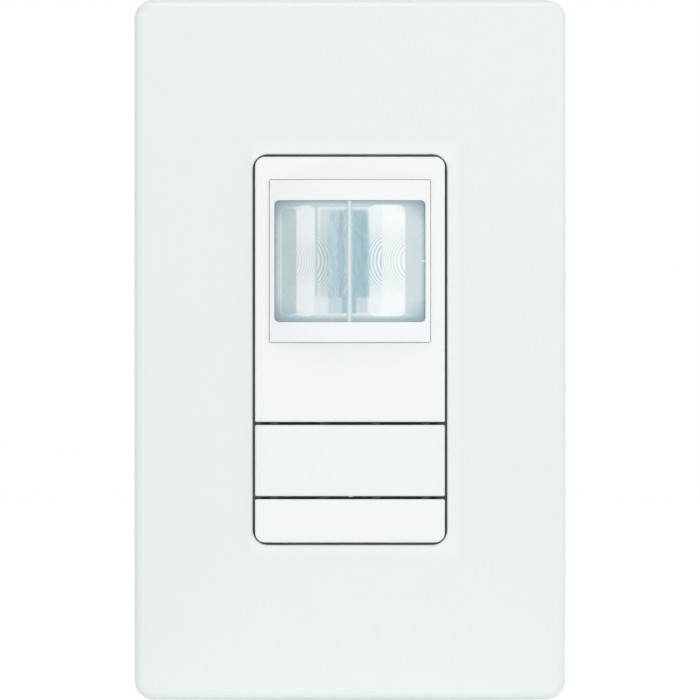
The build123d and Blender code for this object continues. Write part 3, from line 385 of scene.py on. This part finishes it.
plastics = {
    # The plate, face and button finishes carry painted shade on the walls of the gap.
    "plate_white": moulded("plate_white", linear(234, 239, 239), 0.36, wall_front=5.7, rim=5.2),
    "adapter_white": moulded("adapter_white", linear(232, 236, 236), 0.45),
    "face_white": moulded("face_white", linear(242, 245, 246), 0.3, wall_front=6.4),
    "button_white": moulded("button_white", linear(239, 243, 244), 0.3, wall_front=6.4),
    # The front housing is painted dark grey as shade, so that the floor of the gaps round the device
    # reads dark.
    "housing_white": moulded("housing_grey_painted_shade", linear(100, 119, 121), 0.5),
    "tray_white": moulded("tray_white", linear(238, 243, 244), 0.4),
    "rear_grey": moulded("rear_grey", linear(74, 79, 84), 0.42, grain=0.25, drift=0.08),
    "chip_black": moulded("chip_black", linear(34, 35, 37), 0.5, grain=0.3, drift=0.1),
    "plunger_black": moulded("plunger_black", linear(26, 26, 28), 0.35),
    "relay_black": moulded("relay_black", linear(30, 32, 36), 0.3, drift=0.06),
    "sleeve_black": moulded("sleeve_black", linear(28, 29, 33), 0.25, drift=0.06),
    "film_yellow": moulded("film_yellow", linear(214, 164, 44), 0.35, drift=0.05),
    "varistor_blue": moulded("varistor_blue", linear(38, 74, 148), 0.4, grain=0.15, drift=0.06),
    "sheet_grey": moulded("sheet_grey", linear(96, 100, 102), 0.7, grain=0.3, drift=0.08),
}
print("plastics", len(plastics))

# %% [markdown]
# ## Metals
# The strap is zinc-plated sheet, the screws are plated too, and the terminals are brass.
# Plating is slightly cloudy, and rolled sheet keeps a faint grain along its length. Noise
# that is stretched along Z makes the grain, and cloudy noise moves the roughness.

# %% Metals
cloud_scale, line_scale = 0.12, 5.0
cloud_shade = 0.86
cloud_gloss, line_gloss = 0.16, 0.08
line_height = 0.01 * mm


def metal(name, colour, roughness, grain_stretch=(1, 1, 0.06), grain=0.12):
    """Plated or rolled metal with cloudy gloss and a fine grain."""
    finish = Finish(name, Metallic=1.0)
    clouds = finish.noise(cloud_scale, 4.0)
    lines = finish.noise(line_scale, 2.0, grain_stretch)
    dim = tuple(part * cloud_shade for part in colour)
    tint = finish.mix(clouds, dim, colour)
    gloss = clouds * cloud_gloss + lines * line_gloss + (roughness - (cloud_gloss + line_gloss) / 2)
    normal = finish.bump(lines, grain, line_height)
    return finish.feed(Base_Color=tint, Roughness=gloss, Normal=normal)


metals = {
    "strap_steel": metal("strap_steel", linear(163, 172, 174), 0.48),
    "plated_steel": metal("plated_steel", linear(205, 206, 203), 0.32, (1, 1, 1)),
    "can_steel": metal("can_steel", linear(208, 208, 202), 0.3, (1, 0.1, 1)),
    "ground_green": metal("ground_green", linear(46, 132, 78), 0.38, (1, 1, 1)),
    "terminal_brass": metal("terminal_brass", linear(212, 172, 94), 0.34, (1, 1, 1)),
}
print("metals", len(metals))

# %% [markdown]
# ## Board, coil, fuse, light parts
# Inside parts get their own finishes: the boards a solder mask with copper runs that
# show through it, the coil its stacked turns of enamelled wire, the fuse its pale body
# with two plain rings, and the small round lamp and the sensor window clear resins.

# %% Finishes of the inside parts
def circuit_board():
    """Solder mask, a little lighter where copper runs lie under it."""
    finish = Finish("board_green", Specular_IOR_Level=0.5)
    x, y, z = finish.place()
    runs = (x * 0.9 + finish.noise(0.08) * 3.0).maths("PINGPONG", 1.0)
    fine = (z * 0.45 + finish.noise(0.05) * 2.0).maths("PINGPONG", 1.0)
    copper = runs.between(0.62, 0.68) * fine.between(0.2, 0.25)
    mask = finish.mix(copper, linear(18, 84, 52), linear(34, 112, 66))
    normal = finish.bump(copper, 0.4, 0.03 * mm)
    return finish.feed(Base_Color=mask, Normal=normal, Roughness=copper * 0.1 + 0.32)


turn_half = 0.22
ring_shares = ((0.3, 0.4), (0.5, 0.6))
ring_soft = 0.02


def wound_copper():
    """Stacked turns: the height goes up and down along the coil's axis, and the colour darkens where it
    dips.
    """
    finish = Finish("coil_copper", Metallic=1.0)
    x, y, z = finish.place()
    turns = y.maths("PINGPONG", turn_half) * (1 / turn_half)
    # Painted shade: the colour is darker in the dips between the turns.
    tint = finish.mix(turns, linear(112, 52, 26), linear(196, 108, 62))
    normal = finish.bump(turns, 0.8, 0.15 * mm)
    return finish.feed(Base_Color=tint, Roughness=turns * -0.15 + 0.45, Normal=normal)


def ringed_ceramic():
    """A pale body with two plain dark rings."""
    finish = Finish("fuse_ceramic")
    x, y, z = finish.place()
    fuse_low, fuse_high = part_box("fuse_resistor")
    along = (x - fuse_low.x / mm) * (mm / (fuse_high.x - fuse_low.x))
    bands = 0.0
    for start, end in ring_shares:
        band = along.between(start, start + ring_soft) * (1 - along.between(end - ring_soft, end))
        bands = band + bands
    tint = finish.mix(bands, linear(203, 190, 158), linear(60, 46, 40))
    speck = finish.noise(3.0)
    normal = finish.bump(speck, 0.1, 0.02 * mm)
    return finish.feed(Base_Color=tint, Roughness=speck * 0.2 + 0.4, Normal=normal)


def resin(name, colour, transmission, roughness):
    """Clear or dark resin with a slight cloud."""
    finish = Finish(name, Transmission_Weight=transmission, IOR=1.5)
    slow = finish.noise(0.3)
    tint = finish.mix(slow, tuple(part * 0.94 for part in colour), colour)
    return finish.feed(Base_Color=tint, Roughness=slow * 0.06 + roughness)


inside = {
    "board_green": circuit_board(),
    "coil_copper": wound_copper(),
    "fuse_ceramic": ringed_ceramic(),
    "filter_dark": resin("filter_dark", linear(38, 30, 42), 0.0, 0.1),
    "led_clear": resin("led_clear", linear(222, 236, 228), 0.5, 0.08),
}
print("inside finishes", len(inside))

# %% [markdown]
# ## The lens
# The lens is milky, and its grooves bend what lies behind it into upright bands: the
# tray's pale side walls, some lit and some in shade, the bluish slot in its floor and a darker
# rim in shade. A sheet of glass over a real tray would need many rays to show this, so the bands
# are mixed into the colour as painted light and painted shade, each as a soft-edged panel
# measured in millimetres from the lens's middle, with painted shade in the corners and a painted
# highlight along the crest; the grooves are rings whose distance shrinks outwards, as on every such
# lens.

# %% Lens finish
lens_low, lens_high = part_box("fresnel_lens")
lens_middle_z = (lens_low.z + lens_high.z) / 2 / mm
band_edge = 0.22
panel_round = 0.7
inner_box = (-12.5, 12.6, -9.75, 9.9)
groove_box = (-9.2, 9.2)
slot_box = (-3.9, 3.4, -6.4, 8.9)
slot_bow = 0.006
crest_x, crest_clear = -0.1, (0.2, 0.5)
corner_reach, corner_share = (65.0, 130.0), 0.9
streak_scale, streak_share = 2.4, 0.35
cloud_share = 0.08
# The rim and corner tones are painted shade; the grey tones are the tray's side walls in painted shade.
border_shade_tone = linear(168, 187, 191)
rim_tone = linear(197, 211, 214)
corner_shade_tone = linear(146, 170, 182)
groove_tone = linear(130, 160, 172)
streak_tone = linear(128, 161, 177)
slot_tone = linear(166, 193, 202)
dark_slot_tone = linear(158, 186, 196)
sky_tone = linear(188, 208, 215)
left_wall_shade_tone = linear(189, 203, 205)
right_wall_shade_tone = linear(208, 218, 220)
white_left_tone = linear(231, 238, 239)
white_right_tone = linear(244, 249, 250)
shaded_white_tone = linear(234, 242, 244)
pale_tone = linear(222, 231, 232)
foot_tone = linear(158, 192, 202)
near_slot_tone = linear(202, 217, 220)
under_slot_tone = linear(194, 212, 218)
patch_tone = linear(201, 214, 220)
# A painted highlight along the lens's crest, where a lamp would shine on its bow.
crest_highlight_edge_tone = linear(188, 211, 219)
crest_highlight_tone = linear(216, 232, 236)

# left, right, low, high, tone, softness, corner radius, bow
lens_layers = (
    (-11.9, 12.1, -9.3, 9.25, pale_tone, 0.3, 0.9, 0.0),
    # painted shade on the tray's side walls at the left and the right
    (-11.7, -9.0, -9.1, 9.0, left_wall_shade_tone, 0.3, 0.9, 0.0),
    (9.3, 12.0, -9.1, 9.0, right_wall_shade_tone, 0.5, 0.9, 0.0),
    (-9.15, -6.1, -9.4, 9.5, white_left_tone, 0.3, 1.1, 0.0),
    (-5.95, -5.55, -6.0, 9.4, left_wall_shade_tone, 0.35, 0.2, 0.0),
    (3.25, 9.45, -9.4, 9.6, white_right_tone, 0.3, 1.2, 0.0),
    (3.25, 5.5, -9.0, 9.3, shaded_white_tone, 0.4, 0.6, 0.0),
    (-5.1, -3.3, -6.2, 8.8, near_slot_tone, 0.7, 0.4, 0.0),
    (-3.75, -1.2, -9.0, -6.0, under_slot_tone, 0.6, 0.3, 0.0),
    (-3.75, 3.4, -6.3, 8.8, sky_tone, 0.7, 0.5, 0.004),
    (-2.0, -0.95, -6.2, 8.6, slot_tone, 0.4, 0.3, 0.003),
    (0.5, 3.0, -6.2, 8.6, slot_tone, 0.6, 0.3, 0.003),
    (1.9, 2.5, -6.0, 8.3, dark_slot_tone, 0.5, 0.2, 0.003),
    (-1.35, -0.5, -8.9, -6.1, foot_tone, 0.2, 0.15, 0.0),
    (0.35, 1.15, -8.9, -6.1, foot_tone, 0.2, 0.15, 0.0),
    (1.15, 2.95, -8.8, -6.3, patch_tone, 0.3, 0.2, 0.0),
    # painted highlight along the crest
    (-0.55, 0.35, -10.3, 10.3, crest_highlight_edge_tone, 0.4, 0.1, 0.0),
    (-0.3, 0.12, -10.3, 10.3, crest_highlight_tone, 0.3, 0.1, 0.0),
    (12.3, 12.8, -0.1, 0.15, white_right_tone, 0.15, 0.1, 0.0),
)
# centre_x, left, right, area of a step, reach up and down, depth
lens_grooves = (
    (-8.95, -5.6, -3.7, 5.27, 7.5, 0.62),
    (8.5, 3.3, 5.45, 5.27, 7.5, 0.6),
    (-12.4, -9.1, -6.1, 4.3, 5.0, 0.38),
    (11.6, 5.45, 9.4, 4.3, 7.5, 0.38),
    (21.0, 9.4, 12.0, 9.0, 7.0, 0.16),
    (-21.0, -11.8, -9.1, 9.0, 7.0, 0.10),
    (8.5, 0.4, 3.3, 5.27, 9.5, 0.2),
    (-8.95, -3.7, -0.6, 5.27, 9.5, 0.2),
)


def panel(x, z, left, right, low, high, soft=band_edge, corner=panel_round, bow=0.0):
    """1 inside a rectangle with rounded corners. A bow lets its sides swell at mid-height."""
    half_w, half_h = (right - left) / 2, (high - low) / 2
    corner = min(corner, half_w, half_h)
    away_x = abs(x - (left + right) / 2) - (half_w - corner) + z * z * bow
    away_z = abs(z - (low + high) / 2) - (half_h - corner)
    out_x, out_z = away_x.maths("MAXIMUM", 0.0), away_z.maths("MAXIMUM", 0.0)
    reach = (out_x * out_x + out_z * out_z).maths("SQRT") - corner
    return 1 - reach.between(-soft / 2, soft / 2)


def rings(x, z, centre_x, step_area, reach):
    """Soft dark lines on circles of equal area steps round a centre, fading away from mid-height."""
    from_centre = x - centre_x
    area = from_centre * from_centre + z * z
    wave = (area * (1 / step_area)).maths("PINGPONG", 0.5) * 2.0
    return (1 - wave.between(0.0, 0.8)) * (1 - abs(z).between(reach * 0.3, reach))


def milky_lens():
    """Painted shade at the rim, painted bands of the lit and shaded tray, painted shade in the corners,
    a painted highlight on the crest, grooves and streaks, mixed one over the other.
    """
    finish = Finish("lens_milk", Specular_IOR_Level=0.5)
    x, y, z = finish.place()
    z = z - lens_middle_z
    inner = panel(x, z, *inner_box, 0.5, 0.9)
    colour = finish.mix(inner, border_shade_tone, rim_tone)
    for left, right, low, high, tone, soft, corner, bow in lens_layers:
        colour = finish.mix(panel(x, z, left, right, low, high, soft, corner, bow), colour, tone)
    # Painted shade in the corners.
    shade = (abs(x) * abs(z)).between(*corner_reach) * corner_share
    colour = finish.mix(shade, colour, corner_shade_tone)
    lines = 0.0
    for centre_x, left, right, step_area, reach, depth in lens_grooves:
        near = panel(x, z, left, right, *groove_box, 0.3, 0.1)
        lines = rings(x, z, centre_x, step_area, reach) * near * depth + lines
    colour = finish.mix(lines, colour, groove_tone)
    slot = panel(x, z, *slot_box, 0.5, 0.5, slot_bow) * abs(x - crest_x).between(*crest_clear)
    streaks = finish.noise(streak_scale, 3.0, (1.0, 1.0, 0.35)).between(0.4, 0.65)
    colour = finish.mix(streaks * slot * streak_share, colour, streak_tone)
    cloud = finish.noise(0.5, 3.0)
    colour = finish.mix(cloud.between(0.35, 0.75) * cloud_share, colour, slot_tone)
    normal = finish.bump(lines + streaks * slot * 0.15, 0.3, 0.05 * mm)
    return finish.feed(Base_Color=colour, Roughness=cloud * 0.1 + 0.22, Normal=normal)


lens_finish = {"lens_milk": milky_lens()}
print("lens middle at", round(lens_middle_z, 2), "mm")

# %% [markdown]
# ## Threads on the plate's screws
# The frame's screws have plain shanks, and their mesh is loose triangles. We copy it, merge
# the points that meet so that each screw is one closed skin, cut a ring into each shank
# behind the strap, draw everything beyond that ring in to the thread's core, and wind one
# small triangle round it. Winding is a spin that also steps forward along the axis.

# %% Threaded screws
thread_pitch = 0.79 * mm
thread_start, thread_end = 0.3 * mm, 6.3 * mm
core_share = 0.8
ridge_r = thread_pitch * 0.42
steps_per_turn = 24
merge_reach = 0.002 * mm


def wind(shape, axis_x, axis_z, radius):
    """Wind a triangle round a line that runs into the wall."""
    ridge = bmesh.ops.create_circle(shape, segments=3, radius=ridge_r)["verts"]
    turned = Matrix.Rotation(math.radians(-90), 4, "Z")
    place = Matrix.Translation((axis_x + radius, thread_start, axis_z))
    bmesh.ops.transform(shape, matrix=place @ turned, verts=ridge)
    edges = list({edge for vert in ridge for edge in vert.link_edges})
    turns = (thread_end - thread_start) / thread_pitch
    bmesh.ops.spin(shape, geom=ridge + edges, cent=(axis_x, 0, axis_z), axis=(0, 1, 0),
                   angle=math.tau * turns, steps=round(turns * steps_per_turn),
                   dvec=(0, thread_pitch / steps_per_turn, 0))


screw_low, screw_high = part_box("adapter_screws")
head_r = (screw_high.x - screw_low.x) / 2
shank_r = 1.7 * mm
shape = bmesh.new()
shape.from_mesh(nodes["adapter_screws"].data)
bmesh.ops.remove_doubles(shape, verts=shape.verts, dist=merge_reach)
print("merged screws", len(shape.verts), "points, closed", all(edge.is_manifold for edge in shape.edges))
for cut in (thread_start - 0.1 * mm, thread_start):
    everything = shape.verts[:] + shape.edges[:] + shape.faces[:]
    bmesh.ops.bisect_plane(shape, geom=everything, plane_co=(0, cut, 0), plane_no=(0, 1, 0))
for axis_z in (screw_low.z + head_r, screw_high.z - head_r):
    behind = [vert for vert in shape.verts if vert.co.y > thread_start - 0.01 * mm]
    core = [vert for vert in behind if abs(vert.co.z - axis_z) < head_r]
    about = Matrix.Translation((0, 0, -axis_z))
    bmesh.ops.scale(shape, vec=(core_share, 1, core_share), space=about, verts=core)
    wind(shape, 0, axis_z, shank_r - ridge_r)
bmesh.ops.recalc_face_normals(shape, faces=shape.faces)
screw_mesh = bpy.data.meshes.new("threaded_screws")
shape.to_mesh(screw_mesh)
shape.free()
threaded = bpy.data.objects.new("threaded_screws", screw_mesh)
bpy.context.scene.collection.objects.link(threaded)
screw_mesh.materials.append(metals["plated_steel"])
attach(threaded, "device")
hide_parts("adapter_screws")
print("threaded screws", len(screw_mesh.polygons), "faces")

# %% [markdown]
# ## Dressing the nodes
# The record names a material slot for every node. We look each node up there and put
# our finish in that slot, so that the list of parts and finishes is written only once.

# %% Put every finish on its node
finishes = {**plastics, **metals, **inside, **lens_finish}
brighter = {"lower_button": "face_white"}
for entry in frame["record"]["subparts"]:
    part = nodes[entry["node"]]
    part.data.materials.clear()
    part.data.materials.append(finishes[brighter.get(entry["node"], entry["material_slot"])])
